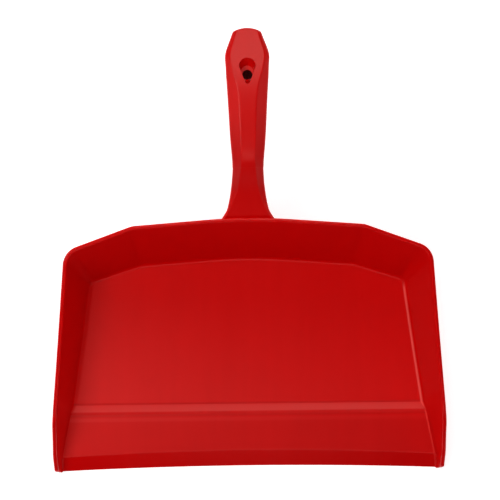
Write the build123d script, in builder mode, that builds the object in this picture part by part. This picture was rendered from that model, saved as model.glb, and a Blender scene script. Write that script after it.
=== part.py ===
"""Hand dustpan: a wide moulded scoop with a raised neck, and a hollow two-shell grip.

Frame: +Z up, millimetres. The origin is on the ground under the middle of the
object's length and width. The sweeping lip faces -Y, the grip points along +Y.
"""
import os
from math import cos, hypot, radians, sin

from build123d import *

os.makedirs("parts", exist_ok=True)

# ---------------------------------------------------------------- dimensions
# scoop
floor_t = 3.0          # thickness of the main floor
wall_w = 3.3           # width of the walls, measured level
top_z = 72.0           # height of the upper construction outline, above the rim
crease_r = 4.0         # inside round between floor and walls
ramp_r = 2.0           # inside round between ramp and walls
heel_r = 5.0           # outside round between floor and walls

# inside outline of the scoop, right half, from the rear middle to the front
low_outline = [(0.0, -3.4), (80.7, -9.2), (119.2, -21.2),
               (133.5, -119.0), (140.7, -151.6), (143.6, -178.0)]
high_outline = [(0.0, 29.75), (85.7, 23.5), (135.3, 5.9),
                (150.4, -119.0), (155.6, -151.6), (156.4, -178.0)]
low_round = [420.0, 12.0, 7.0, 90.0, 70.0]
high_round = [420.0, 14.0, 13.0, 90.0, 70.0]

# side view of the rim, from behind the rear wall to below the lip
rim_profile = [(60.0, 66.6), (5.0, 63.0), (-122.0, 44.0), (-163.2, 14.2), (-167.2, -3.0)]
rim_bend_r = [60.0, 40.0, 5.0]

# lip, bevel, ramp and ridge, in the middle of the width
lip_y = -161.85
lip_t = 0.8
bevel_y, bevel_z = -149.4, 5.0
crest_y, crest_z = -119.95, 6.9
foot_y = -115.45
bow_r = 3400.0         # the lip bows back by about 3 mm over its width
bow_y = lip_y - bow_r  # centre of that bow, far in front

# pockets under the ramp
pocket_skin = 2.8
pocket_count = 8
pocket_pitch = 32.5
pocket_rib = 2.2

# handle: y, half width, top z, underside z, half width of the top facet
handle_table = [
    (18.0, 23.0, 59.2, 43.0, 20.6),
    (22.0, 22.4, 61.3, 44.6, 20.0),
    (27.0, 19.8, 63.9, 47.0, 17.6),
    (30.0, 17.6, 65.4, 48.8, 15.5),
    (33.6, 15.6, 67.3, 51.2, 13.7),
    (38.0, 14.4, 69.7, 54.2, 11.8),
    (42.5, 13.5, 72.3, 57.4, 9.9),
    (47.0, 12.8, 75.2, 60.8, 8.0),
    (51.4, 12.2, 78.5, 64.2, 6.9),
    (56.0, 11.75, 82.3, 67.8, 6.1),
    (60.2, 11.45, 85.8, 70.9, 5.6),
    (64.5, 11.25, 89.1, 73.6, 5.2),
    (69.0, 11.5, 91.8, 75.8, 5.0),
    (77.5, 12.2, 94.7, 78.2, 5.1),
    (86.0, 12.9, 96.5, 79.5, 5.3),
    (99.0, 13.6, 98.4, 80.6, 5.8),
    (112.0, 14.3, 99.6, 81.2, 6.4),
    (121.0, 14.75, 100.0, 81.3, 7.2),
    (129.0, 15.3, 99.8, 81.2, 9.2),
    (138.0, 15.7, 99.1, 81.0, 11.6),
    (145.0, 16.0, 98.3, 80.8, 12.6),
    (151.0, 14.5, 97.6, 80.6, 11.4),
    (157.7, 11.9, 96.7, 80.2, 9.2),
    (161.0, 10.6, 96.2, 80.0, 8.2),
    (165.0, 9.2, 95.6, 79.8, 7.0),
    (168.0, 8.2, 95.1, 79.6, 6.1),
]
facet_slope = 0.75     # fall of the upper side facets
belly_w = 5.0          # lower side facets, width and rise
belly_h = 4.6
neck_skin = 3.2        # neck wall around the channel underneath
seam_y = 64.5          # neck and grip meet at the narrowest place
grip_t = 2.6           # grip shell thickness
spigot_gap = 0.25      # room round the spigot inside the grip
spigot_end = 86.0
end_y = 165.0          # the end of the grip is an arc in plan
end_arc = 20.0
end_r = 2.0            # round on the edges of that end

# hanging eye: it leans, so that a rising peg on a wall holds the grip
eye_y = 131.0          # where its axis meets the ledge
eye_r = 3.2
eye_lean = 40.0        # degrees from upright, towards the scoop on its way down
eye_ledge_z = 91.2
eye_wall = 2.2
funnel_wall = 2.0

# locating pins between the two grip shells
pin_y = [95.0, 109.0]
pin_r = 1.8
pin_h = 4.0


# ---------------------------------------------------------------- helpers
def outline(points, rounds, height, grow=0.0):
    """Closed plan outline at a height: right half mirrored, rounded, then grown."""
    left = [(-x, y) for x, y in reversed(points[1:])]
    with BuildSketch(Plane.XY.offset(height)) as sk:
        with BuildLine():
            Polyline(*(points + left), close=True)
        make_face()
        for (px, py), r in zip(points, rounds):
            corners = [v for v in sk.vertices()
                       if abs(abs(v.X) - px) < 0.01 and abs(v.Y - py) < 0.01]
            fillet(corners, r)
        if grow:
            offset(amount=grow, kind=Kind.INTERSECTION)
    return sk


def side_region(points, rounds=()):
    """Closed region in the side view (y, z), with rounded corners at (index, radius)."""
    with BuildSketch(Plane.YZ) as sk:
        with BuildLine():
            Polyline(*points, close=True)
        make_face()
        for i, r in rounds:
            corner = [v for v in sk.vertices()
                      if abs(v.X - points[i][0]) < 0.01 and abs(v.Y - points[i][1]) < 0.01]
            fillet(corner, r)
    return sk


def bowed(points):
    """The same points seen on the far side of the bow's axis."""
    return [(2 * bow_y - y, z) for y, z in points]


def handle_at(y):
    """Half width, top, underside and facet half width at a station, smoothly interpolated."""
    t = handle_table
    for i in range(len(t) - 1):
        if t[i][0] <= y <= t[i + 1][0]:
            break
    y0, y1 = t[i][0], t[i + 1][0]
    u = (y - y0) / (y1 - y0)
    out = []
    for k in range(1, 5):
        p0, p1 = t[i][k], t[i + 1][k]
        d = (p1 - p0) / (y1 - y0)
        d0 = d if i == 0 else (p1 - t[i - 1][k]) / (y1 - t[i - 1][0])
        d1 = d if i + 2 >= len(t) else (t[i + 2][k] - p0) / (t[i + 2][0] - y0)
        h = y1 - y0
        out.append((2 * u**3 - 3 * u**2 + 1) * p0 + (u**3 - 2 * u**2 + u) * h * d0
                   + (-2 * u**3 + 3 * u**2) * p1 + (u**3 - u**2) * h * d1)
    return out


def handle_corners(y, inset=0.0):
    """Right-hand corners of the eight-sided handle section, moved in by inset."""
    w, zt, zb, f = handle_at(y)
    ct = facet_slope * (w - f)
    fb = w - belly_w
    cb = belly_h
    up_l, lo_l = hypot(ct, w - f), hypot(cb, belly_w)
    n_up = (ct / up_l, (w - f) / up_l)
    n_lo = (cb / lo_l, -belly_w / lo_l)
    d_up = n_up[0] * f + n_up[1] * zt - inset
    d_lo = n_lo[0] * fb + n_lo[1] * zb - inset
    zt, zb, w = zt - inset, zb + inset, w - inset
    return [((d_up - n_up[1] * zt) / n_up[0], zt), (w, (d_up - n_up[0] * w) / n_up[1]),
            (w, (d_lo - n_lo[0] * w) / n_lo[1]), ((d_lo - n_lo[1] * zb) / n_lo[0], zb)]


def handle_section(y, inset=0.0, radii=(2.2, 2.4, 3.0, 3.0)):
    """Rounded eight-sided section standing across the handle."""
    right = handle_corners(y, inset)
    pts = right + [(-x, z) for x, z in reversed(right)]
    # the sketch's own x runs along +X and its own y along +Z
    plane = Plane(origin=(0, y, 0), x_dir=(1, 0, 0), z_dir=(0, -1, 0))
    with BuildSketch(plane) as sk:
        with BuildLine():
            Polyline(*pts, close=True)
        make_face()
        for (cx, cz), r in zip(right, radii):
            corner = [v for v in sk.vertices()
                      if abs(abs(v.X) - cx) < 0.001 and abs(v.Y - cz) < 0.001]
            fillet(corner, r)
    return sk.sketch


# ---------------------------------------------------------------- scoop voids
low_in = outline(low_outline, low_round, 0.0)
high_in = outline(high_outline, high_round, top_z)
low_out = outline(low_outline, low_round, 0.0, wall_w)
high_out = outline(high_outline, high_round, top_z, wall_w)
low_mid = outline(low_outline, low_round, 0.0, 1.4)
high_mid = outline(high_outline, high_round, top_z, 1.4)
bow_axis = Axis((0, bow_y, 0), (0, 0, 1))

# space over the main floor, back to the ridge
slope = (crest_y - foot_y) / (crest_z - floor_t)
behind_ridge = side_region([(60, -5), (foot_y - slope * (floor_t + 5), -5),
                            (crest_y, crest_z), (crest_y, 90), (60, 90)])
with BuildPart() as rear_void:
    loft(sections=[low_in.sketch, high_in.sketch], ruled=True)
    with Locations((0, -50, floor_t - 10)):
        Box(400, 400, 20, mode=Mode.SUBTRACT)
    creases = [e for e in rear_void.edges()
               if e.bounding_box().max.Z < floor_t + 0.01 and e.bounding_box().max.Y > -177]
    fillet(creases, crease_r)
    extrude(behind_ridge.sketch, amount=200, both=True, mode=Mode.INTERSECT)

# space over the ramp, out past the lip
far_y = -182.0
ramp_fall = (crest_z - bevel_z) / (crest_y - bevel_y)
above_ramp = side_region([(60, crest_z + ramp_fall * (60 - crest_y)),
                          (far_y, crest_z + ramp_fall * (far_y - crest_y)),
                          (far_y, 90), (60, 90)])
ahead_of_crest = side_region([(crest_y, crest_z), (crest_y - 8.5, -2), (far_y, -2), (far_y, 90),
                              (crest_y + 7.2, 90), (crest_y + 7.2, crest_z + 7.2)])
with BuildPart() as ramp_void:
    loft(sections=[low_in.sketch, high_in.sketch], ruled=True)
    extrude(above_ramp.sketch, amount=200, both=True, mode=Mode.INTERSECT)
    ramp_face = ramp_void.faces().sort_by(SortBy.AREA).filter_by(
        lambda f: f.normal_at(f.center()).Z < -0.5)[-1]
    fillet([e for e in ramp_face.edges() if e.bounding_box().max.Y > -177], ramp_r)
    extrude(ahead_of_crest.sketch, amount=200, both=True, mode=Mode.INTERSECT)

# space over the bevel, bowed like the lip
bevel_fall = (bevel_z - lip_t) / (bevel_y - lip_y)
bevel_profile = side_region(bowed([
    (bevel_y + 10, bevel_z + bevel_fall * 10), (-176.0, lip_t + bevel_fall * (-176.0 - lip_y)),
    (-176.0, 90), (bevel_y + 10, 90)]))
with BuildPart() as bevel_void:
    loft(sections=[low_in.sketch, high_in.sketch], ruled=True)
    revolve(bevel_profile.sketch, axis=bow_axis, mode=Mode.INTERSECT)

# ---------------------------------------------------------------- handle bodies
stations = [18.0, 24.0, 30.0, 36.0, 42.5, 51.4, 60.2, 69.0, 82.0, 99.0, 116.0, 124.0,
            132.0, 139.0, 145.0, 151.0, 157.0, 162.5, 168.0]
with BuildPart() as handle_body:
    loft(sections=[handle_section(y) for y in stations])

with BuildPart() as neck:
    add(handle_body.part)
    with Locations((0, seam_y + 100, 80)):
        Box(80, 200, 120, mode=Mode.SUBTRACT)
    # cut back inside the rear wall's thickness
    add(loft(sections=[low_mid.sketch, high_mid.sketch], ruled=True, mode=Mode.PRIVATE),
        mode=Mode.SUBTRACT)

# channel under the neck, crossed by two ribs
with BuildPart() as neck_channel:
    profiles = []
    for y in (26.0, 34.0, 42.5, 51.4, 58.0):
        w, zt, zb, f = handle_at(y)
        wx, fx = w - neck_skin, min(f - 1.0, w - neck_skin - 1.2)
        fz = zt - neck_skin
        wz = fz - facet_slope * (wx - fx)
        pts = [(fx, fz), (wx, wz), (wx - 0.8, zb - 20), (-wx + 0.8, zb - 20), (-wx, wz), (-fx, fz)]
        with BuildSketch(Plane(origin=(0, y, 0), x_dir=(1, 0, 0), z_dir=(0, -1, 0)),
                         mode=Mode.PRIVATE) as sk:
            with BuildLine():
                Polyline(*pts, close=True)
            make_face()
        profiles.append(sk.sketch)
    loft(sections=profiles)
    with Locations((0, 38.0, 60), (0, 48.5, 60)):
        Box(60, 2.2, 120, mode=Mode.SUBTRACT)
    add(loft(sections=[low_out.sketch, high_out.sketch], ruled=True, mode=Mode.PRIVATE),
        mode=Mode.SUBTRACT)

with BuildPart() as spigot:
    loft(sections=[handle_section(y, grip_t + spigot_gap, (1.4, 1.4, 1.6, 1.6))
                   for y in (60.2, 66.0, 72.0, 79.0, spigot_end)])

# ---------------------------------------------------------------- pan
rim_pts = [(60, -5)] + rim_profile + [(-168.0, -5)]
under_rim = side_region(rim_pts, list(zip((2, 3, 4), rim_bend_r)))

with BuildPart() as pan:
    loft(sections=[low_out.sketch, high_out.sketch], ruled=True)
    heel = [e for e in pan.edges()
            if e.bounding_box().max.Z < 0.01 and e.bounding_box().max.Y > -150]
    heel += [e for e in pan.edges()
             if e.bounding_box().max.Z < 0.01 and e.bounding_box().max.Y <= -150 and e.length < 200]
    fillet(heel, heel_r)
    # side view of the rim
    extrude(under_rim.sketch, amount=200, both=True, mode=Mode.INTERSECT)
    # bowed front edge with rounded corners
    with BuildSketch(Plane.XY.offset(-1)) as plan_cut:
        with BuildLine():
            l1 = Line((-154, 60), (154, 60))
            l2 = Line((154, 60), (151.4, -150))
            corner_y = lip_y - 148.3**2 / (2 * bow_r)
            l3 = Line((151.4, -150), (148.3, corner_y))
            l4 = ThreePointArc((148.3, corner_y), (0, lip_y), (-148.3, corner_y))
            l5 = Line((-148.3, corner_y), (-151.4, -150))
            l6 = Line((-151.4, -150), (-154, 60))
        make_face()
        fillet([v for v in plan_cut.vertices() if v.Y < -160], 3.3)
    extrude(amount=100, mode=Mode.INTERSECT)
    add(rear_void.part, mode=Mode.SUBTRACT)
    add(ramp_void.part, mode=Mode.SUBTRACT)
    add(bevel_void.part, mode=Mode.SUBTRACT)

    # pockets that core out the ramp from below, with ribs left between them
    pocket_top = bevel_z - pocket_skin
    pocket_profile = side_region([
        (crest_y + 1.6, -1), (crest_y - 0.6, crest_z - pocket_skin), (bevel_y + 3, pocket_top + 0.25),
        (bevel_y + 3, -1)])
    with Locations(*[((i - (pocket_count - 1) / 2) * pocket_pitch, 0, 0)
                     for i in range(pocket_count)]):
        add(extrude(pocket_profile.sketch, amount=(pocket_pitch - pocket_rib) / 2, both=True,
                    mode=Mode.PRIVATE), mode=Mode.SUBTRACT)
    # sprue mark under the floor
    with Locations((0, -60, 0)):
        Cylinder(6, 1.0, mode=Mode.SUBTRACT)
    with Locations((0, -60, 0.25)):
        Cylinder(1.6, 0.5)
    # neck with its open channel, and the spigot that the grip slides over
    add(neck.part)
    add(neck_channel.part, mode=Mode.SUBTRACT)
    add(spigot.part)

pan.part.label = "pan"
export_step(pan.part, "parts/pan.step")

# ---------------------------------------------------------------- grip shells
with BuildPart() as grip_body:
    add(handle_body.part)
    with Locations((0, seam_y - 100, 80)):
        Box(80, 200, 160, mode=Mode.SUBTRACT)
    with BuildSketch(Plane.XY.offset(60)) as end_cut:
        with BuildLine():
            side_y = end_y - end_arc + (end_arc**2 - 16.0**2) ** 0.5
            Polyline((16, side_y), (40, side_y), (40, 60), (-40, 60), (-40, side_y), (-16, side_y))
            ThreePointArc((-16, side_y), (0, end_y), (16, side_y))
        make_face()
    extrude(amount=60, mode=Mode.INTERSECT)
    end_face = grip_body.faces().filter_by(GeomType.CYLINDER).sort_by(Axis.Y)[-1]
    fillet(end_face.edges(), end_r)

with BuildPart() as grip_void:
    loft(sections=[handle_section(y, grip_t, (0.7, 0.7, 1.2, 1.2))
                   for y in (60.2, 66.0, 72.0, 79.0, 86.0, 99.0, 116.0, 130.0, 144.0, 151.0, 157.0,
                             160.0)])

# parting surface along the middle of the side facets
part_pts = []
for y in (60.0, 69.0, 82.0, 99.0, 116.0, 130.0, 144.0, 157.0, 166.0):
    c = handle_corners(y)
    part_pts.append((y, (c[1][1] + c[2][1]) / 2))
part_pts.append((170.0, part_pts[-1][1]))
with BuildSketch(Plane.YZ) as upper_side:
    with BuildLine():
        Spline(*part_pts)
        Polyline(part_pts[-1], (170.0, 120.0), (60.0, 120.0), part_pts[0])
    make_face()

# teardrop funnel above the eye, wide at the top
with BuildSketch(Plane.XY.offset(101.0)) as funnel_top:
    with Locations((0, 138.8)):
        Circle(6.3)
    with Locations((0, 125.9)):
        Circle(1.7)
    make_hull()
with BuildSketch(Plane.XY.offset(eye_ledge_z)) as funnel_low:
    with Locations((0, 133.4)):
        Circle(4.5)
    with Locations((0, 129.9)):
        Circle(3.05)
    make_hull()
with BuildPart() as funnel:
    loft(sections=[funnel_low.sketch, funnel_top.sketch], ruled=True)

with BuildSketch(Plane.XY.offset(101.0)) as sleeve_top:
    with Locations((0, 138.8)):
        Circle(6.3 + funnel_wall)
    with Locations((0, 125.9)):
        Circle(1.7 + funnel_wall)
    make_hull()
with BuildSketch(Plane.XY.offset(eye_ledge_z)) as sleeve_low:
    with Locations((0, 133.4)):
        Circle(4.5 + funnel_wall)
    with Locations((0, 129.9)):
        Circle(3.05 + funnel_wall)
    make_hull()
with BuildPart() as sleeve:
    loft(sections=[sleeve_low.sketch, sleeve_top.sketch], ruled=True)
    add(grip_body.part, mode=Mode.INTERSECT)
lean = radians(eye_lean)
eye_line = Plane(origin=(0, eye_y, eye_ledge_z), x_dir=(1, 0, 0), z_dir=(0, sin(lean), cos(lean)))
with BuildPart() as eye_boss:
    # leaning tube below a plate that the sleeve stands on
    with Locations(eye_line.location):
        Cylinder(eye_r + eye_wall, 60)
    with Locations((0, eye_y, eye_ledge_z + 50)):
        Box(100, 200, 100, mode=Mode.SUBTRACT)
    extrude(sleeve_low.sketch, amount=-2.6)
    add(grip_body.part, mode=Mode.INTERSECT)

pin_z = []
for y in pin_y:
    c = handle_corners(y)
    pin_z.append((c[1][1] + c[2][1]) / 2)
up = (Align.CENTER, Align.CENTER, Align.MIN)
down = (Align.CENTER, Align.CENTER, Align.MAX)

with BuildPart() as grip_top_shell:
    add(grip_body.part)
    add(grip_void.part, mode=Mode.SUBTRACT)
    extrude(upper_side.sketch, amount=60, both=True, mode=Mode.INTERSECT)
    # sleeve round the funnel
    add(sleeve.part)
    add(funnel.part, mode=Mode.SUBTRACT)
    # sockets for the pins
    for y, z in zip(pin_y, pin_z):
        with Locations((0, y, z)):
            Cylinder(pin_r + 2.2, handle_at(y)[1] - 1.4 - z, align=up)
            Cylinder(pin_r + 0.15, pin_h + 1.0, align=up, mode=Mode.SUBTRACT)

with BuildPart() as grip_bottom_shell:
    add(grip_body.part)
    add(grip_void.part, mode=Mode.SUBTRACT)
    extrude(upper_side.sketch, amount=60, both=True, mode=Mode.SUBTRACT)
    # boss that carries the eye, with its bore
    add(eye_boss.part)
    with Locations(eye_line.location):
        Cylinder(eye_r, 80, mode=Mode.SUBTRACT)
    # pins
    for y, z in zip(pin_y, pin_z):
        with Locations((0, y, z)):
            Cylinder(pin_r + 2.0, z - handle_at(y)[2] - 1.4, align=down)
            Cylinder(pin_r, pin_h, align=up)

grip_top_shell.part.label = "grip_top_shell"
export_step(grip_top_shell.part, "parts/grip_top_shell.step")
grip_bottom_shell.part.label = "grip_bottom_shell"
export_step(grip_bottom_shell.part, "parts/grip_bottom_shell.step")
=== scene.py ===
"""Looks of the dustpan: the moulded scoop, its grip, the red plastic, the studio and the camera."""

import math

import bmesh
import bpy
import numpy as np
from mathutils import Matrix, Vector
from mathutils.geometry import delaunay_2d_cdt


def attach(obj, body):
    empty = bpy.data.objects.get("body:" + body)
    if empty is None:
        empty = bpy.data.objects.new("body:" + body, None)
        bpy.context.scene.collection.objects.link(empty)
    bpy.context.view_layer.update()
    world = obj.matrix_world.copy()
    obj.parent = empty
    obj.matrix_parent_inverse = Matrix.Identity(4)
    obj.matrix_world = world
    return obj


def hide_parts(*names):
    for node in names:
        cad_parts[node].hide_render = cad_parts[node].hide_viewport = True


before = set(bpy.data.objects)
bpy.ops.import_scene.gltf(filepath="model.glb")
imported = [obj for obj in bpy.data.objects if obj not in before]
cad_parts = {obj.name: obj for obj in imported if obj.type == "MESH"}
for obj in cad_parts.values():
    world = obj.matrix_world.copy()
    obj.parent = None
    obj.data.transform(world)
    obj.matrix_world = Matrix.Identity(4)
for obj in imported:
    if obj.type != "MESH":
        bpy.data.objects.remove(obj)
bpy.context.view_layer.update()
MM = 0.001

# ---------------------------------------------------------------- measures, in millimetres
floor_t = 3.0
dish_h = 0.65
wall_w = 3.3
top_z = 72.0
crease_r = 4.0
ramp_r = 2.0
heel_r = 5.0
rim_r = 1.25
low_outline = [(0.0, -3.4), (80.7, -9.2), (119.2, -21.2),
               (133.5, -119.0), (140.7, -151.6), (143.6, -178.0)]
high_outline = [(0.0, 29.75), (85.7, 23.5), (135.3, 5.9),
                (150.4, -119.0), (155.6, -151.6), (156.4, -178.0)]
low_round = [420.0, 12.0, 7.0, 90.0, 70.0]
high_round = [420.0, 14.0, 13.0, 90.0, 70.0]
rim_profile = [(60.0, 66.6), (5.0, 63.0), (-122.0, 44.0), (-163.2, 14.2), (-167.2, -3.0)]
rim_bend_r = [60.0, 40.0, 5.0]
lip_y, lip_t = -161.85, 0.8
bevel_y, bevel_z = -149.4, 5.0
crest_y, crest_z = -119.95, 6.9
foot_y = -115.45
bow_r = 3400.0
corner_r = 3.4
handle_table = [
    (18.0, 23.0, 59.2, 43.0, 20.6), (22.0, 22.4, 61.3, 44.6, 20.0),
    (27.0, 19.8, 63.9, 47.0, 17.6), (30.0, 17.6, 65.4, 48.8, 15.5),
    (33.6, 15.6, 67.3, 51.2, 13.7), (38.0, 14.4, 69.7, 54.2, 11.8),
    (42.5, 13.5, 72.3, 57.4, 9.9), (47.0, 12.8, 75.2, 60.8, 8.0),
    (51.4, 12.2, 78.5, 64.2, 6.9), (56.0, 11.75, 82.3, 67.8, 6.1),
    (60.2, 11.45, 85.8, 70.9, 5.6), (64.5, 11.25, 89.1, 73.6, 5.2),
    (69.0, 11.5, 91.8, 75.8, 5.0), (77.5, 12.2, 94.7, 78.2, 5.1),
    (86.0, 12.9, 96.5, 79.5, 5.3), (99.0, 13.6, 98.4, 80.6, 5.8),
    (112.0, 14.3, 99.6, 81.2, 6.4), (121.0, 14.75, 100.0, 81.3, 7.2),
    (129.0, 15.3, 99.8, 81.2, 9.2), (138.0, 15.7, 99.1, 81.0, 11.6),
    (145.0, 16.0, 98.3, 80.8, 12.6), (151.0, 14.5, 97.6, 80.6, 11.4),
    (157.7, 11.9, 96.7, 80.2, 9.2), (161.0, 10.6, 96.2, 80.0, 8.2),
    (165.0, 9.2, 95.6, 79.8, 7.0),
]
facet_slope, belly_w, belly_h = 0.75, 5.0, 4.6
neck_skin = 3.2
eye_y, eye_ledge_z = 131.0, 91.2
seam_y = 64.5
spigot_inset, spigot_end = 2.85, 86.0
pocket_skin, pocket_count, pocket_pitch, pocket_rib = 2.8, 8, 32.5, 2.2


# ---------------------------------------------------------------- curves
def unit(v):
    return v / np.linalg.norm(v)


class Path:
    """Right half of a plan outline with rounded corners, from the rear middle to the front."""

    def __init__(self, points, rounds):
        pts = [np.array(p) for p in points]
        ends, arcs = [], []
        for i, r in enumerate(rounds):
            before = np.array((-points[1][0], points[1][1])) if i == 0 else pts[i - 1]
            u, v = unit(before - pts[i]), unit(pts[i + 1] - pts[i])
            half = math.acos(np.clip(u @ v, -1, 1)) / 2
            d = r / math.tan(half)
            c = pts[i] + unit(u + v) * r / math.sin(half)
            a, b = pts[i] + u * d - c, pts[i] + v * d - c
            a0, a1 = math.atan2(a[1], a[0]), math.atan2(b[1], b[0])
            while a1 - a0 > math.pi:
                a1 -= 2 * math.pi
            while a1 - a0 < -math.pi:
                a1 += 2 * math.pi
            if i == 0:
                a0 = (a0 + a1) / 2
            arcs.append((c, r, a0, a1))
            ends.append((c + a, c + b))
        self.segs = []
        for i, arc in enumerate(arcs):
            self.segs.append(("arc",) + arc)
            stop = ends[i + 1][0] if i + 1 < len(ends) else pts[-1]
            self.segs.append(("line", ends[i][1], stop))

    def at(self, s):
        """Point and outward normal."""
        k = min(int(s), len(self.segs) - 1)
        t = s - k
        seg = self.segs[k]
        if seg[0] == "line":
            p = seg[1] + (seg[2] - seg[1]) * t
            d = unit(seg[2] - seg[1])
        else:
            _, c, r, a0, a1 = seg
            a = a0 + (a1 - a0) * t
            p = c + r * np.array((math.cos(a), math.sin(a)))
            d = np.array((-math.sin(a), math.cos(a))) * (1 if a1 > a0 else -1)
        return p, np.array((-d[1], d[0]))


def corner_arc(p, to_a, to_b, r, d, n):
    """n points of the round at corner p between two directions, with tangent length d."""
    cosang = np.clip(to_a @ to_b, -1, 1)
    half = math.acos(cosang) / 2
    if d < 1e-6 or half > math.pi / 2 - 1e-4:
        return [p.copy() for _ in range(n)]
    r = d * math.tan(half)
    c = p + unit(to_a + to_b) * r / math.sin(half)
    a, b = p + to_a * d - c, p + to_b * d - c
    turn = math.pi - 2 * half
    out = []
    for i in range(n):
        t = i / (n - 1)
        out.append(c + (math.sin((1 - t) * turn) * a + math.sin(t * turn) * b) / math.sin(turn))
    return out


def rounded(points, radii, steps, fills):
    """Polyline in space with rounded inner corners: steps points per round, fills points between rounds."""
    pts = [np.asarray(p, float) for p in points]
    n = len(pts)
    length = [np.linalg.norm(pts[i + 1] - pts[i]) for i in range(n - 1)]
    tang = [0.0] * n
    for i in range(1, n - 1):
        u, v = unit(pts[i - 1] - pts[i]), unit(pts[i + 1] - pts[i])
        half = math.acos(np.clip(u @ v, -1, 1)) / 2
        tang[i] = radii[i - 1] / math.tan(half)
    scale = [1.0] * n
    for i in range(n - 1):
        total = tang[i] + tang[i + 1]
        if total > 0.96 * length[i]:
            f = 0.96 * length[i] / total
            scale[i], scale[i + 1] = min(scale[i], f), min(scale[i + 1], f)
    out = []
    for i in range(1, n - 1):
        u, v = unit(pts[i - 1] - pts[i]), unit(pts[i + 1] - pts[i])
        arc = corner_arc(pts[i], u, v, radii[i - 1], tang[i] * scale[i], steps[i - 1])
        if out:
            a = out[-1]
            m = fills[i - 2]
            out += [a + (arc[0] - a) * (k + 1) / (m + 1) for k in range(m)]
        out += arc
    return out


def rounded_line(points, radii, n):
    """Flat polyline with rounded corners, as an array with its end points."""
    p3 = [np.array((a, b, 0.0)) for a, b in points]
    mid = rounded(p3, radii, [n] * len(radii), [0] * (len(radii) - 1))
    return np.array([p3[0]] + mid + [p3[-1]])[:, :2]


low_path, high_path = Path(low_outline, low_round), Path(high_outline, high_round)
rim_line = rounded_line(rim_profile, rim_bend_r, 12)[::-1]


def rim_z(y):
    return float(np.interp(y, rim_line[:, 0], rim_line[:, 1]))


def ruling(s, grow):
    """Lower and upper end of the wall's straight line at s, inside face moved out by grow."""
    p, n = low_path.at(s)
    q, m = high_path.at(s)
    return np.append(p + grow * n, 0.0), np.append(q + grow * m, top_z)


def on_ruling(line, z):
    return line[0] + (line[1] - line[0]) * (z / top_z)


def rim_point(line):
    a, b = 0.0, top_z
    for _ in range(40):
        z = (a + b) / 2
        if z < rim_z(on_ruling(line, z)[1]):
            a = z
        else:
            b = z
    return on_ruling(line, (a + b) / 2)


# ---------------------------------------------------------------- scoop sections
HEEL, OUT, RIM, IN, CREASE = 7, 7, 6, 12, 9


def section(s, corner, toward, r):
    """Points of the wall from the underside, over the rim, to the floor."""
    inner, outer = ruling(s, 0.0), ruling(s, wall_w)
    rim_in, rim_out = rim_point(inner), rim_point(outer)
    heel = outer[0]
    under = heel + np.append(unit(inner[0][:2] - outer[0][:2]), 0.0) * 30.0
    return rounded([under, heel, rim_out, rim_in, corner, corner + toward * 30.0],
                   [heel_r, rim_r, rim_r, r], [HEEL, RIM, RIM, CREASE], [OUT, 1, IN])


# rows across the floor: ridge, ramp, bevel and lip, in the middle of the width
ridge_line = [(-106.0, floor_t), (-112.9, floor_t), (-114.5, 2.6), (-119.7, 6.55), (-121.5, 6.15), (-123.7, 6.22),
              (bevel_y, bevel_z)]
ridge_round = [2.0, 1.0, 1.2, 3.0, 20.0]
ramp_fall = (6.22 - bevel_z) / (-123.7 - bevel_y)


def profile_rows():
    """(y, z, bow weight, crease radius) from the flat floor to the lip."""
    rows = [(y, floor_t) for y in (-100.0, -106.0, -110.0, -111.8)]
    run = rounded([(y, z, 0.0) for y, z in ridge_line], ridge_round, [4, 7, 8, 5, 4], [2, 3, 1, 1])
    rows += [(p[0], p[1]) for p in run]
    for y in (-125.4, -127.0, -129.0, -132.0, -135.5, -139.0, -142.5, -145.8, -148.0):
        rows.append((y, bevel_z + ramp_fall * (y - bevel_y)))
    edge = np.array((bevel_y, bevel_z, 0.0))
    back = unit(np.array((1.0, ramp_fall, 0.0)))
    fall = (bevel_z - lip_t) / (bevel_y - lip_y)
    ahead = unit(np.array((-1.0, -fall, 0.0)))
    rows += [(p[0], p[1]) for p in corner_arc(edge, back, ahead, 1, 0.8, 6)]
    for y in (-152.0, -154.5, -156.8):
        rows.append((y, lip_t + fall * (y - lip_y)))
    for q in np.linspace(1.0, 0.0, 9):
        dy = corner_r * (1 - math.cos(q * math.pi / 2))
        rows.append((lip_y + dy, lip_t + fall * dy))
    out = []
    for y, z in rows:
        d = crest_y - y
        if y > bevel_y:
            f = np.clip((d - 6.0) / (crest_y - bevel_y - 6.0), 0, 1)
            w = 1.494 * f * f * (3 - 2 * f)
        else:
            w = 1.494 + (1.0 - 1.494) * (bevel_y - y) / (bevel_y - lip_y)
        if y > crest_y:
            f = np.clip((foot_y - y) / (foot_y - crest_y), 0, 1)
            r = crease_r + (ramp_r - crease_r) * f
        else:
            f = np.clip((bevel_y - y) / (bevel_y - lip_y), 0, 1)
            r = ramp_r + (0.7 - ramp_r) * f
        out.append((y, z, w, r))
    return out


def bowed(y, w, x):
    return y - w * x * x / (2 * bow_r)


def side_s(y, z, w):
    """Where along the path the inside wall crosses a row of the floor."""
    a, b = 4.5, 9.9
    for _ in range(50):
        s = (a + b) / 2
        p = on_ruling(ruling(s, 0.0), z)
        if p[1] > bowed(y, w, p[0]):
            a = s
        else:
            b = s
    return (a + b) / 2


INSIDE = HEEL + OUT + 2 * RIM + 1


def dish(p):
    """The floor is very slightly hollow from front to rear; its height change fades out up the walls."""
    q = np.array(p, float)
    along = np.clip((q[..., 1] + 62.0) / 50.0, -1.15, 1.15)
    up = np.clip((q[..., 2] - floor_t) / 17.0, 0, 1)
    ahead = np.clip((q[..., 1] - crest_y) / (foot_y - crest_y), 0, 1)
    q[..., 2] += dish_h * (2 * along**2 - 1) * (1 - up)**2 * ahead
    return q


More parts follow.
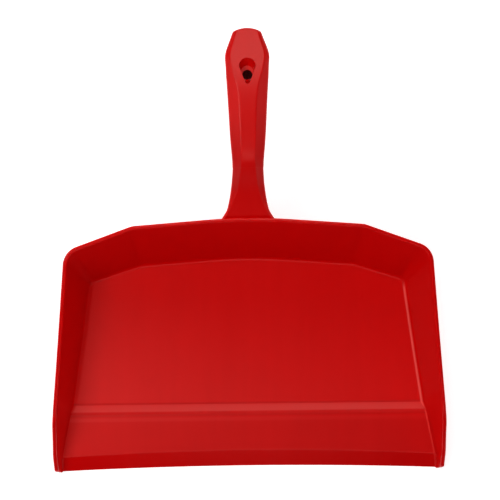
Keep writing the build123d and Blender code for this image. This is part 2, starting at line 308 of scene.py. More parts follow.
sections = []      # right half, front to rear middle: (points, row data or None)
front_rows = profile_rows()[::-1]
for y, z, w, r in front_rows:
    s = side_s(y, z, w)
    c = on_ruling(ruling(s, 0.0), z)
    far = np.array((c[0] - 10.0, bowed(y, w, c[0] - 10.0), z))
    pts = np.array(section(s, c, unit(far - c), r))
    dy = y - lip_y
    if dy < corner_r + 0.1:
        keep = max(0.0, corner_r - dy)
        cut = corner_r - math.sqrt(max(0.0, corner_r**2 - keep**2))
        x_in, x_out = pts[-1][0], pts[:, 0].max()
        far_out = pts[:, 0] > x_in
        squeeze = (x_out - x_in - cut) / (x_out - x_in)
        pts[far_out, 0] = x_in + (pts[far_out, 0] - x_in) * squeeze
        pts[:, 1] = bowed(y, w, pts[:, 0])
    sections.append((pts, (y, z, w)))

line5 = low_path.segs[5]
for y in (-91.0, -80.0, -68.0, -56.0, -45.0, -36.0, -31.0):
    s = side_s(y, floor_t, 0.0)
    c = on_ruling(ruling(s, 0.0), floor_t)
    n = low_path.at(s)[1]
    b = np.clip((y + 100.0) / 40.0, 0, 1)
    t = unit((1 - b) * np.array((-1.0, 0.0)) - b * n)
    sections.append((np.array(section(s, c, np.append(t, 0.0), crease_r)), None))
rear_s = list(np.linspace(5.0, 4.5, 9)) + list(np.linspace(4.5, 4.0, 9))[1:] \
    + list(np.linspace(4.0, 3.0, 8))[1:] + list(np.linspace(3.0, 2.0, 9))[1:] \
    + list(np.linspace(2.0, 1.0, 9))[1:] + list(np.linspace(1.0, 0.0, 7))[1:]
corner_index = len(sections) + 8
for s in rear_s:
    c = on_ruling(ruling(s, 0.0), floor_t)
    n = low_path.at(s)[1]
    sections.append((np.array(section(s, c, np.append(-n, 0.0), crease_r)), None))

for pts, _ in sections:
    pts[INSIDE:] = dish(pts[INSIDE:])

# ---------------------------------------------------------------- scoop mesh
bm = bmesh.new()


def vert(p):
    return bm.verts.new((p[0] * MM, p[1] * MM, p[2] * MM))


def face(vs):
    vs = [v for i, v in enumerate(vs) if v is not vs[i - 1]]
    if len(vs) >= 3 and len(set(vs)) == len(vs):
        bm.faces.new(vs)


flip = np.array((-1.0, 1.0, 1.0))
right = [[vert(p) for p in pts] for pts, _ in sections]
left = [[vert(p * flip) for p in pts] for pts, _ in sections[:-1]] + [right[-1]]
for side in (right, left):
    for a, b in zip(side[:-1], side[1:]):
        for k in range(len(a) - 1):
            face([a[k], a[k + 1], b[k + 1], b[k]])

# floor: rows from the lip to the rear corners, then on to the rear crease
rear_ids = list(range(corner_index, len(sections)))
columns = [sections[i][0][-1][0] for i in rear_ids]            # x from the corner in to the middle
xs = [-x for x in columns] + columns[::-1][1:]
share = [x / columns[0] for x in xs]
grid = []
for i in range(corner_index + 1):
    pts, row = sections[i]
    end = pts[-1]
    line = [left[i][-1]]
    for f in share[1:-1]:
        x = f * end[0]
        if row:
            line.append(vert(dish((x, bowed(row[0], row[2], x), row[1]))))
        else:
            line.append(vert(dish((x, end[1], floor_t))))
    line.append(right[i][-1])
    grid.append(line)
rear_line = [left[i][-1] for i in rear_ids] + [right[i][-1] for i in rear_ids[::-1][1:]]
last = grid[-1]
for k in (1, 2, 3):
    line = [last[0]]
    for a, b in zip(last[1:-1], rear_line[1:-1]):
        p = a.co.lerp(b.co, (0.35, 0.7, 0.92)[k - 1]) / MM
        line.append(vert(dish((p.x, p.y, floor_t))))
    line.append(last[-1])
    grid.append(line)
grid.append(rear_line)
for a, b in zip(grid[:-1], grid[1:]):
    for j in range(len(a) - 1):
        face([a[j], a[j + 1], b[j + 1], b[j]])

# front edge of the lip and the ends of the walls
bottom = [bm.verts.new((v.co.x, v.co.y, 0.0)) for v in grid[0]]
for j in range(len(bottom) - 1):
    face([grid[0][j], bottom[j], bottom[j + 1], grid[0][j + 1]])
face(right[0] + [bottom[-1]])
face(left[0] + [bottom[0]])

# underside with its pockets and the round sprue mark
loop = bottom + [side[0] for side in right] + [side[0] for side in left[:-1][::-1]]
flat_pts = [Vector((v.co.x, v.co.y)) for v in loop]
known = list(loop)
faces_in = [list(range(len(loop)))]
y0 = crest_y + 1.6 - 2.2 / 6.7
y1 = bevel_y + 3.0
pockets = []
for i in range(pocket_count):
    x = (i - (pocket_count - 1) / 2) * pocket_pitch
    h = (pocket_pitch - pocket_rib) / 2
    box = [(x - h, y1), (x + h, y1), (x + h, y0), (x - h, y0)]
    ring = []
    for (cx, cy), (ax, ay), (bx, by) in zip(box, box[-1:] + box[:-1], box[1:] + box[:1]):
        p = np.array((cx, cy, 0.0))
        u, v = unit(np.array((ax, ay, 0.0)) - p), unit(np.array((bx, by, 0.0)) - p)
        ring += corner_arc(p, u, v, 1.5, 1.5, 5)
    pockets.append(ring)
mark = [np.array((6 * math.cos(a), -60 + 6 * math.sin(a), 0.0)) for a in np.linspace(0, 2 * math.pi, 41)[:-1]]
for ring in pockets + [mark]:
    start = len(flat_pts)
    flat_pts += [Vector((p[0] * MM, p[1] * MM)) for p in ring]
    known += [vert(p) for p in ring]
    faces_in.append(list(range(start, start + len(ring))))
cv, _, cf, ov, _, of_ = delaunay_2d_cdt(flat_pts, [], faces_in, 1, 1e-9)
use = [known[o[0]] if o else bm.verts.new((c.x, c.y, 0.0)) for c, o in zip(cv, ov)]
for f, o in zip(cf, of_):
    if list(o) == [0]:
        face([use[i] for i in f])
first = len(loop)
ceil_fall = (crest_z - pocket_skin - (bevel_z - pocket_skin + 0.25)) / (crest_y - 0.6 - y1)
for ring in pockets:
    base = known[first:first + len(ring)]
    first += len(ring)
    top = []
    for p in ring:
        back = (p[1] - y1) / (y0 - y1)
        py = p[1] - 2.0 * back
        top.append((p[0] * 1.0, py, bevel_z - pocket_skin + 0.25 + ceil_fall * (py - y1)))
    mx = sum(p[0] for p in top) / len(top)
    rim_up = [vert((mx + (p[0] - mx) * 0.985, p[1], p[2] - 0.5)) for p in top]
    roof = [vert((mx + (p[0] - mx) * 0.95, y1 + (p[1] - y1) * 0.96 + 0.5, p[2])) for p in top]
    n = len(ring)
    for k in range(n):
        face([base[k], base[(k + 1) % n], rim_up[(k + 1) % n], rim_up[k]])
        face([rim_up[k], rim_up[(k + 1) % n], roof[(k + 1) % n], roof[k]])
    face(roof)
base = known[first:first + len(mark)]
rings = [base]
for r, z in ((5.9, 0.45), (1.75, 0.45), (1.6, 0.3), (1.45, 0.05)):
    rings.append([vert((r * math.cos(a), -60 + r * math.sin(a), z))
                  for a in np.linspace(0, 2 * math.pi, 41)[:-1]])
for a, b in zip(rings[:-1], rings[1:]):
    for k in range(40):
        face([a[k], a[(k + 1) % 40], b[(k + 1) % 40], b[k]])
face(rings[-1])
bmesh.ops.remove_doubles(bm, verts=bm.verts, dist=2e-6)
bmesh.ops.dissolve_degenerate(bm, edges=bm.edges, dist=1e-6)
bmesh.ops.recalc_face_normals(bm, faces=bm.faces)
scoop_mesh = bpy.data.meshes.new("scoop")
bm.to_mesh(scoop_mesh)
bm.free()


# ---------------------------------------------------------------- neck and spigot
def handle_at(y):
    """Half width, top, underside and facet half width at a station."""
    t = handle_table
    i = max(k for k in range(len(t) - 1) if t[k][0] <= y)
    y0_, y1_ = t[i][0], t[i + 1][0]
    u = (y - y0_) / (y1_ - y0_)
    out = []
    for k in range(1, 5):
        p0, p1 = t[i][k], t[i + 1][k]
        d = (p1 - p0) / (y1_ - y0_)
        d0 = d if i == 0 else (p1 - t[i - 1][k]) / (y1_ - t[i - 1][0])
        d1 = d if i + 2 >= len(t) else (t[i + 2][k] - p0) / (t[i + 2][0] - y0_)
        h = y1_ - y0_
        out.append((2 * u**3 - 3 * u**2 + 1) * p0 + (u**3 - 2 * u**2 + u) * h * d0
                   + (-2 * u**3 + 3 * u**2) * p1 + (u**3 - u**2) * h * d1)
    return out


def handle_corners(y, inset=0.0):
    w, zt, zb, f = handle_at(y)
    ct, fb, cb = facet_slope * (w - f), w - belly_w, belly_h
    up_l, lo_l = math.hypot(ct, w - f), math.hypot(cb, belly_w)
    n_up, n_lo = (ct / up_l, (w - f) / up_l), (cb / lo_l, -belly_w / lo_l)
    d_up = n_up[0] * f + n_up[1] * zt - inset
    d_lo = n_lo[0] * fb + n_lo[1] * zb - inset
    zt, zb, w = zt - inset, zb + inset, w - inset
    return [((d_up - n_up[1] * zt) / n_up[0], zt), (w, (d_up - n_up[0] * w) / n_up[1]),
            (w, (d_lo - n_lo[0] * w) / n_lo[1]), ((d_lo - n_lo[1] * zb) / n_lo[0], zb)]


def handle_ring(y, inset=0.0, radii=(2.2, 2.4, 3.0, 3.0)):
    """Closed ring of points round the eight-sided section."""
    half = [np.array((x, 0.0, z)) for x, z in handle_corners(y, inset)]
    ends = [half[0] * flip] + half + [half[-1] * flip]
    run = rounded(ends, radii, [6, 6, 6, 6], [4, 3, 3])
    run = [np.array((0.0, 0.0, half[0][2]))] + \
          [np.array((run[0][0] * q, 0.0, half[0][2])) for q in (0.35, 0.7)] + run + \
          [np.array((run[-1][0] * q, 0.0, half[-1][2])) for q in (0.66, 0.33)] + \
          [np.array((0.0, 0.0, half[-1][2]))]
    ring = run + [p * flip for p in run[1:-1][::-1]]
    return [np.array((p[0], y, p[2])) for p in ring]


def rear_inside_y(x, z):
    """Inside face of the rear wall."""
    s = np.linspace(0.0, 3.0, 40)
    lo = np.array([low_path.at(q)[0] for q in s])
    hi = np.array([high_path.at(q)[0] for q in s])
    a = np.interp(abs(x), lo[:, 0], lo[:, 1])
    b = np.interp(abs(x), hi[:, 0], hi[:, 1])
    return a + (b - a) * z / top_z


def closed_loft(rings, name):
    bm = bmesh.new()
    loops = [[bm.verts.new(Vector(p) * MM) for p in ring] for ring in rings]
    n = len(loops[0])
    for a, b in zip(loops[:-1], loops[1:]):
        for k in range(n):
            bm.faces.new([a[k], a[(k + 1) % n], b[(k + 1) % n], b[k]])
    bm.faces.new(loops[0])
    bm.faces.new(loops[-1][::-1])
    bmesh.ops.remove_doubles(bm, verts=bm.verts, dist=1e-7)
    bmesh.ops.recalc_face_normals(bm, faces=bm.faces)
    mesh = bpy.data.meshes.new(name)
    bm.to_mesh(mesh)
    bm.free()
    return mesh


root = handle_ring(24.0)
for p in root:
    p[1] = rear_inside_y(p[0], p[2]) + 1.7
rings = [root]
for y in np.concatenate([np.arange(29.0, 44.0, 1.0), np.arange(44.0, 64.0, 1.6), [seam_y]]):
    rings.append(handle_ring(y))
for y in (seam_y, 68.0, 72.0, 76.0, 80.0, 84.0, spigot_end - 1.0):
    rings.append(handle_ring(y, spigot_inset, (1.4, 1.4, 1.6, 1.6)))
rings.append([np.array((p[0], spigot_end, p[2])) for p in handle_ring(spigot_end - 1.0, spigot_inset + 0.8, (1.2, 1.2, 1.4, 1.4))])
neck_mesh = closed_loft(rings, "neck")

# open cells under the neck, with two ribs between them
cells = []
for y_a, y_b in ((20.0, 36.9), (39.1, 47.4), (49.6, 58.0)):
    loft = []
    for y in np.linspace(y_a, y_b, 7):
        w, zt, zb, f = handle_at(max(y, 26.0))
        wx, fx = w - neck_skin, min(f - 1.0, w - neck_skin - 1.2)
        fz = zt - neck_skin
        wz = fz - facet_slope * (wx - fx)
        half = [np.array((fx, y, fz)), np.array((wx, y, wz)), np.array((wx - 0.8, y, zb - 20))]
        loft.append(half + [p * flip for p in half[::-1]])
    cells.append(closed_loft(loft, "cell"))


def linked(mesh, name):
    obj = bpy.data.objects.new(name, mesh)
    bpy.context.scene.collection.objects.link(obj)
    return obj


def combined(obj, others, operation):
    """Boolean of obj with others, as a new mesh."""
    for o in others:
        m = obj.modifiers.new("bool", "BOOLEAN")
        m.operation, m.object, m.solver = operation, o, "EXACT"
    bpy.context.view_layer.update()
    deps = bpy.context.evaluated_depsgraph_get()
    mesh = bpy.data.meshes.new_from_object(obj.evaluated_get(deps))
    obj.modifiers.clear()
    return mesh


scoop = linked(scoop_mesh, "scoop_tmp")
neck = linked(neck_mesh, "neck_tmp")
cell_objs = [linked(m, "cell_tmp%d" % i) for i, m in enumerate(cells)]
neck_cut = linked(combined(neck, cell_objs, "DIFFERENCE"), "neck_cut_tmp")
pan_mesh = combined(scoop, [neck_cut], "UNION")
for o in [scoop, neck, neck_cut] + cell_objs:
    bpy.data.objects.remove(o)


def finish_mesh(mesh, angle):
    """Smooth faces, hard edges above an angle; the caller weights the normals by area."""
    bm = bmesh.new()
    bm.from_mesh(mesh)
    bmesh.ops.remove_doubles(bm, verts=bm.verts, dist=2e-6)
    bmesh.ops.dissolve_degenerate(bm, edges=bm.edges, dist=1e-6)
    bmesh.ops.recalc_face_normals(bm, faces=bm.faces)
    for f in bm.faces:
        f.smooth = True
        f.material_index = 0
    for e in bm.edges:
        e.smooth = not (len(e.link_faces) == 2 and e.calc_face_angle(0.0) > math.radians(angle))
    bm.to_mesh(mesh)
    bm.free()


finish_mesh(pan_mesh, 33.0)
pan_mesh.name = "pan_moulding"
pan = linked(pan_mesh, "pan_moulding")
wn = pan.modifiers.new("weighted", "WEIGHTED_NORMAL")
wn.mode, wn.weight, wn.keep_sharp = "FACE_AREA", 50, True
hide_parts("pan")
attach(pan, "root")


# ---------------------------------------------------------------- red plastic
class Nodes:
    """Small helper that adds nodes to a material and links them."""

    def __init__(self, name):
        self.mat = bpy.data.materials.new(name)
        self.mat.use_nodes = True
        self.tree = self.mat.node_tree
        self.tree.nodes.clear()

    def add(self, kind, inputs=None, **props):
        n = self.tree.nodes.new(kind)
        for k, v in props.items():
            setattr(n, k, v)
        for k, v in (inputs or {}).items():
            if isinstance(v, bpy.types.NodeSocket):
                self.tree.links.new(v, n.inputs[k])
            else:
                n.inputs[k].default_value = v
        return n

    def ramp(self, fac, stops, mode="LINEAR"):
        n = self.add("ShaderNodeValToRGB", {"Fac": fac})
        r = n.color_ramp
        r.interpolation = mode
        while len(r.elements) < len(stops):
            r.elements.new(0.5)
        for e, (pos, col) in zip(r.elements, stops):
            e.position = pos
            e.color = (col, col, col, 1) if isinstance(col, float) else col
        return n.outputs["Color"]

    def math(self, op, a, b=None, c=None, clamp=False):
        n = self.add("ShaderNodeMath", operation=op, use_clamp=clamp)
        for i, v in enumerate((a, b, c)):
            if isinstance(v, bpy.types.NodeSocket):
                self.tree.links.new(v, n.inputs[i])
            elif v is not None:
                n.inputs[i].default_value = v
        return n.outputs[0]

    def noise(self, vector, scale, detail=2.0, rough=0.5, distortion=0.0):
        n = self.add("ShaderNodeTexNoise", {"Vector": vector, "Scale": scale, "Detail": detail,
                                            "Roughness": rough, "Distortion": distortion})
        return n.outputs["Fac"]

    def stretched(self, vector, scale, turn=(0.0, 0.0, 0.0)):
        n = self.add("ShaderNodeMapping", {"Vector": vector, "Scale": scale, "Rotation": turn})
        return n.outputs["Vector"]

    def mix(self, fac, a, b):
        n = self.add("ShaderNodeMix", data_type="RGBA")
        for key, v in (("Factor_Float", fac), ("A_Color", a), ("B_Color", b)):
            sock = [i for i in n.inputs if i.identifier == key][0]
            if isinstance(v, bpy.types.NodeSocket):
                self.tree.links.new(v, sock)
            else:
                sock.default_value = v
        return [o for o in n.outputs if o.identifier == "Result_Color"][0]


def red_plastic():
    """Red polypropylene: fine moulded grain, soft sheen, faint flow marks, sweeping scratches, paler worn edges."""
    n = Nodes("red_polypropylene")
    pos = n.add("ShaderNodeTexCoord").outputs["Object"]
    geo = n.add("ShaderNodeNewGeometry")
    xyz = n.add("ShaderNodeSeparateXYZ", {"Vector": pos})
    nrm = n.add("ShaderNodeSeparateXYZ", {"Vector": geo.outputs["Normal"]})

    # colour: slow drift of the pigment and long faint flow marks towards the lip
    drift = n.noise(pos, 14.0, 3.0, 0.55)
    flow = n.noise(n.stretched(pos, (95.0, 9.0, 30.0)), 1.0, 4.0, 0.6, 0.4)
    speck = n.noise(pos, 900.0, 2.0, 0.6)
    tone = n.math("ADD", n.math("MULTIPLY", drift, 0.55), n.math("MULTIPLY", flow, 0.45))
    colour = n.ramp(tone, [(0.30, (0.760, 0.0006, 0.0009, 1)), (0.50, (0.790, 0.0008, 0.0011, 1)),
                           (0.70, (0.820, 0.0012, 0.0016, 1))])
    colour = n.mix(n.ramp(speck, [(0.70, 0.0), (0.80, 0.10)]), colour, (0.40, 0.001, 0.001, 1))

    # edges seen against a small bevel: rubbed paler and a little rougher
    soft = n.add("ShaderNodeBevel", {"Radius": 0.0011}, samples=6)
    same = n.add("ShaderNodeVectorMath", {0: soft.outputs["Normal"], 1: geo.outputs["Normal"]},
                 operation="DOT_PRODUCT").outputs["Value"]
    rub = n.noise(pos, 120.0, 4.0, 0.65)
    edge = n.math("MULTIPLY", n.ramp(same, [(0.86, 1.0), (0.985, 0.0)]), n.ramp(rub, [(0.42, 0.0), (0.62, 1.0)]))
    colour = n.mix(n.math("MULTIPLY", edge, 0.20), colour, (0.80, 0.045, 0.04, 1))

    # sweeping scratches on the floor, the ramp and the bevel
    low = n.ramp(n.math("MULTIPLY", xyz.outputs["Z"], 40.0), [(0.40, 1.0), (0.55, 0.0)])
    level = n.ramp(nrm.outputs["Z"], [(0.90, 0.0), (0.96, 1.0)])
    ground = n.math("MULTIPLY", low, level)
    front = n.ramp(n.math("MULTIPLY_ADD", xyz.outputs["Y"], -8.0, -0.5), [(0.0, 0.25), (0.75, 1.0)])
    where = n.math("MULTIPLY", ground, front)
    lines_a = n.noise(n.stretched(pos, (1500.0, 16.0, 60.0), (0, 0, 0.10)), 1.0, 2.0, 0.55)
    lines_b = n.noise(n.stretched(pos, (1100.0, 22.0, 60.0), (0, 0, -0.16)), 1.0, 2.0, 0.55)
    patchy = n.ramp(n.noise(pos, 26.0, 2.0, 0.5), [(0.42, 0.0), (0.62, 1.0)])
    scratch = n.math("MAXIMUM", n.ramp(lines_a, [(0.70, 0.0), (0.76, 1.0)]), n.ramp(lines_b, [(0.71, 0.0), (0.77, 1.0)]))
    scratch = n.math("MULTIPLY", n.math("MULTIPLY", scratch, where), patchy)
    colour = n.mix(n.math("MULTIPLY", scratch, 0.10), colour, (0.66, 0.03, 0.03, 1))

    # painted shade: the leaning bore of the hanging eye and the sides of its mouth are painted near black, standing
    # in for the shade deep in the hole
    fall = n.math("ADD", xyz.outputs["Z"], -eye_ledge_z * MM)
    along = n.math("ADD", n.math("MULTIPLY_ADD", fall, 0.13, xyz.outputs["Y"]), -eye_y * MM)
    along = n.math("POWER", n.math("ABSOLUTE", n.math("DIVIDE", along, 3.75 * MM)), 2.0)
    across = n.math("POWER", n.math("ABSOLUTE", n.math("DIVIDE", xyz.outputs["X"], 3.8 * MM)), 2.0)
    near = n.ramp(n.math("MULTIPLY", n.math("ADD", along, across), 0.5), [(0.44, 1.0), (0.56, 0.0)])
    deep = n.ramp(n.math("MULTIPLY_ADD", fall, -400.0, 0.20), [(0.02, 0.0), (0.14, 1.0)])
    painted_eye_shade = n.math("MULTIPLY", near, deep)
    patch = n.ramp(n.noise(pos, 700.0, 3.0, 0.6), [(0.30, 0.90), (0.70, 1.0)])
    painted_eye_shade = n.math("MULTIPLY", painted_eye_shade, patch)
    colour = n.mix(painted_eye_shade, colour, (0.004, 0.002, 0.002, 1))

    # painted shade: the front-facing bevel and the ramp towards the lip are painted darker, more of it to the
    # right, standing in for the weaker light there
    outer = n.ramp(n.math("MULTIPLY_ADD", xyz.outputs["Y"], -200.0, -24.8), [(0.0, 0.0), (1.0, 1.0)])
    steep = n.ramp(n.math("ADD", nrm.outputs["Y"], 0.5), [(0.24, 1.0), (0.34, 0.0)])
    aside = n.ramp(n.math("MULTIPLY_ADD", xyz.outputs["X"], 3.0, 0.5), [(0.10, 0.0), (0.90, 1.0)])
    lip_painted_shade = n.math("MULTIPLY_ADD", aside, 0.08, n.math("MULTIPLY", steep, 0.05))
    lip_painted_shade = n.math("MULTIPLY", lip_painted_shade, n.math("MULTIPLY", outer, low))
    colour = n.mix(lip_painted_shade, colour, (0.02, 0.002, 0.004, 1))

    # painted shade: dark lines at the ridge's foot and just past its crest; painted highlights: the ridge's face,
    # the top of the ramp and the right-hand creases of the ramp and the floor are painted paler
    facing_up = n.math("MULTIPLY", low, n.ramp(nrm.outputs["Z"], [(0.62, 0.0), (0.80, 1.0)]))
    # painted shade: dark line along the ridge's foot
    ridge_painted_shade = n.math("MULTIPLY", n.math("ABSOLUTE", n.math("ADD", xyz.outputs["Y"], 113.7 * MM)), 500.0)
    ridge_painted_shade = n.math("MULTIPLY", facing_up, n.ramp(ridge_painted_shade, [(0.20, 0.13), (0.55, 0.0)]))
    colour = n.mix(ridge_painted_shade, colour, (0.02, 0.002, 0.004, 1))
    # painted shade: dark line just past the ridge's crest
    ridge_painted_shade = n.math("MULTIPLY", n.math("ABSOLUTE", n.math("ADD", xyz.outputs["Y"], 122.3 * MM)), 500.0)
    ridge_painted_shade = n.math("MULTIPLY", facing_up, n.ramp(ridge_painted_shade, [(0.20, 0.08), (0.60, 0.0)]))
    colour = n.mix(ridge_painted_shade, colour, (0.02, 0.002, 0.004, 1))
    # painted highlight: a paler strip at the top of the ramp, brighter to the left
    ramp_top_highlight = n.math("MULTIPLY", n.math("ABSOLUTE", n.math("ADD", xyz.outputs["Y"], 125.6 * MM)), 500.0)
    ramp_top_highlight = n.math("MULTIPLY", facing_up, n.ramp(ramp_top_highlight, [(0.40, 0.30), (1.0, 0.0)]))
    ramp_top_highlight = n.math("MULTIPLY", ramp_top_highlight, n.math("MULTIPLY_ADD", aside, -0.8, 1.0))
    colour = n.mix(ramp_top_highlight, colour, (0.92, 0.045, 0.040, 1))
    # painted highlight: the ridge's rear-facing face is painted paler
    ridge_face_highlight = n.math("MULTIPLY", low, n.ramp(nrm.outputs["Y"], [(0.25, 0.0), (0.45, 0.40)]))
    ridge_face_highlight = n.math("MULTIPLY", ridge_face_highlight, n.ramp(n.math("MULTIPLY_ADD", xyz.outputs["Y"], -300.0, -33.9), [(0.0, 0.0), (1.0, 1.0)]))
    colour = n.mix(ridge_face_highlight, colour, (0.80, 0.045, 0.04, 1))
    # painted highlight: pale line along the right-hand crease of the ramp, fading towards the lip
    crease_highlight = n.ramp(n.math("MULTIPLY", nrm.outputs["X"], -1.0), [(0.03, 0.0), (0.10, 1.0), (0.55, 1.0), (0.68, 0.0)])
    crease_highlight = n.math("MULTIPLY", crease_highlight, n.ramp(n.math("MULTIPLY_ADD", xyz.outputs["Y"], -20.0, -2.3),
                                           [(0.08, 0.0), (0.12, 1.0), (0.80, 0.25)]))
    colour = n.mix(n.math("MULTIPLY", crease_highlight, facing_up), colour, (0.97, 0.030, 0.025, 1))
    # painted highlight: pale line along the right-hand crease of the floor, from the rear corner to the ridge
    crease_highlight = n.ramp(n.math("MULTIPLY", nrm.outputs["X"], -1.0), [(0.12, 0.0), (0.24, 1.0), (0.48, 1.0), (0.62, 0.0)])
    crease_highlight = n.math("MULTIPLY", crease_highlight, n.ramp(n.math("MULTIPLY", xyz.outputs["Y"], -20.0), [(0.47, 0.0), (0.55, 1.0)]))
    crease_highlight = n.math("MULTIPLY", crease_highlight, n.ramp(n.math("MULTIPLY_ADD", xyz.outputs["Y"], 300.0, 36.0), [(0.0, 0.0), (1.0, 1.0)]))
    colour = n.mix(n.math("MULTIPLY", crease_highlight, facing_up), colour, (0.98, 0.065, 0.055, 1))

    # the sides of the neck and of the grip's lower half darker, the left-facing sides more than the right-facing
    neck_span = n.ramp(n.math("MULTIPLY_ADD", xyz.outputs["Y"], 10.0, -0.3),
                     [(0.06, 0.0), (0.20, 1.0), (0.50, 1.0), (0.78, 0.0)])
    flank_l = n.ramp(n.math("MULTIPLY", nrm.outputs["X"], -1.0), [(0.22, 0.0), (0.42, 0.15)])
    flank_r = n.ramp(nrm.outputs["X"], [(0.22, 0.0), (0.42, 0.08)])
    colour = n.mix(n.math("MULTIPLY", neck_span, n.math("ADD", flank_l, flank_r)), colour, (0.02, 0.002, 0.004, 1))

    # sheen: glossy as moulded, duller on the grip and where sweepings have rubbed the floor and the ridge
    gloss = n.noise(pos, 38.0, 3.0, 0.5)
    swept = n.math("MULTIPLY", low, n.ramp(nrm.outputs["Z"], [(0.62, 0.0), (0.80, 1.0)]))
    swept = n.math("MULTIPLY", swept, n.ramp(n.math("ADD", nrm.outputs["Y"], 0.5), [(0.24, 0.0), (0.34, 1.0)]))
    rubbed = n.ramp(n.math("MULTIPLY_ADD", xyz.outputs["Y"], -12.0, -0.36), [(0.0, 0.0), (1.0, 1.0)])
    rubbed = n.math("MULTIPLY", rubbed, n.ramp(n.math("MULTIPLY_ADD", xyz.outputs["X"], 3.0, 0.5), [(0.08, 1.0), (0.95, 0.35)]))
    touched = n.ramp(n.math("MULTIPLY_ADD", xyz.outputs["Y"], 300.0, -8.1), [(0.0, 0.0), (1.0, 1.0)])
    held = n.ramp(n.math("MULTIPLY_ADD", xyz.outputs["Y"], 20.0, -0.7), [(0.0, 0.0), (1.0, 1.0)])
    rough = n.math("MULTIPLY_ADD", gloss, 0.05, 0.19)
    rough = n.math("MULTIPLY_ADD", swept, n.math("MULTIPLY_ADD", rubbed, 0.155, 0.085), rough)
    rough = n.math("MULTIPLY_ADD", touched, n.math("MULTIPLY_ADD", held, 0.05, 0.085), rough)
    worn = n.math("MAXIMUM", n.math("MULTIPLY", swept, rubbed), touched)
    shine = n.math("MULTIPLY_ADD", worn, 0.18, 0.24)
    # the painted shade in the eye also loses most of its sheen and gets rougher
    shine = n.math("MULTIPLY", shine, n.math("MULTIPLY_ADD", painted_eye_shade, -0.8, 1.0))
    rough = n.math("ADD", rough, n.math("MULTIPLY", flow, 0.02))
    rough = n.math("ADD", rough, n.math("MULTIPLY", scratch, 0.10))
    rough = n.math("ADD", rough, n.math("MULTIPLY", painted_eye_shade, 0.30))
    rough = n.math("ADD", rough, n.math("MULTIPLY", edge, 0.08), clamp=True)

    # relief: fine grain from the mould, very slow waves, the scratches
    grain = n.noise(pos, 2600.0, 3.0, 0.6)
    waves = n.noise(n.stretched(pos, (30.0, 22.0, 30.0)), 1.0, 1.0, 0.4)
    b1 = n.add("ShaderNodeBump", {"Height": waves, "Strength": 0.18, "Distance": 0.0006})
    b2 = n.add("ShaderNodeBump", {"Height": grain, "Strength": 0.10, "Distance": 0.00006, "Normal": b1.outputs["Normal"]})
    b3 = n.add("ShaderNodeBump", {"Height": scratch, "Strength": 0.12, "Distance": 0.00005, "Normal": b2.outputs["Normal"]},
               invert=True)

    bsdf = n.add("ShaderNodeBsdfPrincipled", {"Base Color": colour, "Roughness": rough,
                                              "Normal": b3.outputs["Normal"], "IOR": 1.49,
                                              "Specular IOR Level": shine, "Specular Tint": (1.0, 0.62, 0.56, 1)})
    n.add("ShaderNodeOutputMaterial", {"Surface": bsdf.outputs["BSDF"]})
    return n.mat


red = red_plastic()
pan.data.materials.clear()
pan.data.materials.append(red)
for name in ("grip_top_shell", "grip_bottom_shell"):
    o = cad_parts[name]
    for s in o.material_slots:
        s.material = red


# ---------------------------------------------------------------- studio
def pale_floor():
    """White studio table, faintly lit from within."""
    n = Nodes("pale_floor")
    pos = n.add("ShaderNodeTexCoord").outputs["Object"]
    cloud = n.noise(pos, 3.0, 3.0, 0.5)
    colour = n.ramp(cloud, [(0.3, (0.90, 0.90, 0.90, 1)), (0.7, (0.93, 0.93, 0.93, 1))])
    rough = n.math("MULTIPLY_ADD", cloud, 0.1, 0.8)
    bsdf = n.add("ShaderNodeBsdfPrincipled", {"Base Color": colour, "Roughness": rough, "Specular IOR Level": 0.1,
                                              "Emission Color": (1, 1, 1, 1), "Emission Strength": 0.70})
    n.add("ShaderNodeOutputMaterial", {"Surface": bsdf.outputs["BSDF"]})
    return n.mat


floor_mesh = bpy.data.meshes.new("studio_floor")
floor_mesh.from_pydata([(-3, -3, 0), (3, -3, 0), (3, 3, 0), (-3, 3, 0)], [], [(0, 1, 2, 3)])
floor = linked(floor_mesh, "studio_floor")
floor.data.materials.append(pale_floor())
aim = Vector((0.0, -0.03, 0.02))


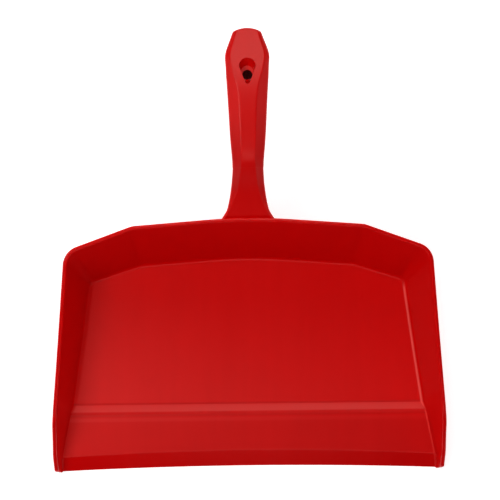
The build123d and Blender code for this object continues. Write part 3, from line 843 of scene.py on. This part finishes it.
def softbox(name, azimuth, elevation, power, size=0.72, distance=1.9):
    """Round soft light, by compass angle from the grip's direction and height angle."""
    light = bpy.data.lights.new(name, "AREA")
    light.energy, light.shape, light.size = power, "DISK", size
    obj = bpy.data.objects.new(name, light)
    bpy.context.scene.collection.objects.link(obj)
    a, e = math.radians(azimuth), math.radians(elevation)
    way = Vector((math.sin(a) * math.cos(e), math.cos(a) * math.cos(e), math.sin(e)))
    obj.location = aim + way * distance
    obj.rotation_euler = (-way).to_track_quat("-Z", "Y").to_euler()
    return obj


softbox("rear_high", 0, 68, 5.95)
softbox("rear_mid", 0, 46, 0.95)
softbox("rear_low", 0, 35, 5.45)
softbox("left_high", 270, 68, 2.25)
softbox("left_low", 270, 24, 1.3)
softbox("left_near", 270, 60, 2.15, 0.40, 1.1)
softbox("left_near_low", 270, 50, 0.7, 0.40, 1.1)
softbox("front_left_low", 225, 24, 1.6)
softbox("front", 180, 57, 2.2)
softbox("front_right", 135, 35, 6.45, 1.2, 3.2)
softbox("right", 90, 35, 1.0, 1.2, 3.2)
softbox("right_low", 90, 24, 3.35, 1.2, 3.2)
world = bpy.data.worlds.new("studio")
world.use_nodes = True
world.node_tree.nodes["Background"].inputs["Color"].default_value = (1, 1, 1, 1)
world.node_tree.nodes["Background"].inputs["Strength"].default_value = 0.0
bpy.context.scene.world = world
bpy.context.scene.view_settings.view_transform = "Standard"
bpy.context.scene.view_settings.look = "None"

# ---------------------------------------------------------------- camera
target = Vector((2.2, 2.56, 0.0)) * MM
back = Vector((-math.tan(math.radians(0.96)), math.tan(math.radians(1.33)), 1.0)).normalized()
up0 = (Vector((0, 1, 0)) - back * back.y).normalized()
right0 = up0.cross(back)
roll = math.radians(0.585)
cam_right = math.cos(roll) * right0 - math.sin(roll) * up0
cam_up = math.sin(roll) * right0 + math.cos(roll) * up0
cam_data = bpy.data.cameras.new("camera")
cam_data.sensor_fit = "HORIZONTAL"
cam_data.sensor_width = 36.0
cam_data.lens = 2361.3 / 500.0 * 36.0
cam_data.clip_end = 20.0
camera = bpy.data.objects.new("camera", cam_data)
bpy.context.scene.collection.objects.link(camera)
place = Matrix((cam_right, cam_up, back)).transposed().to_4x4()
place.translation = target + back * 1.8
camera.matrix_world = place
bpy.context.scene.camera = camera

# ---------------------------------------------------------------- end
bpy.context.view_layer.update()
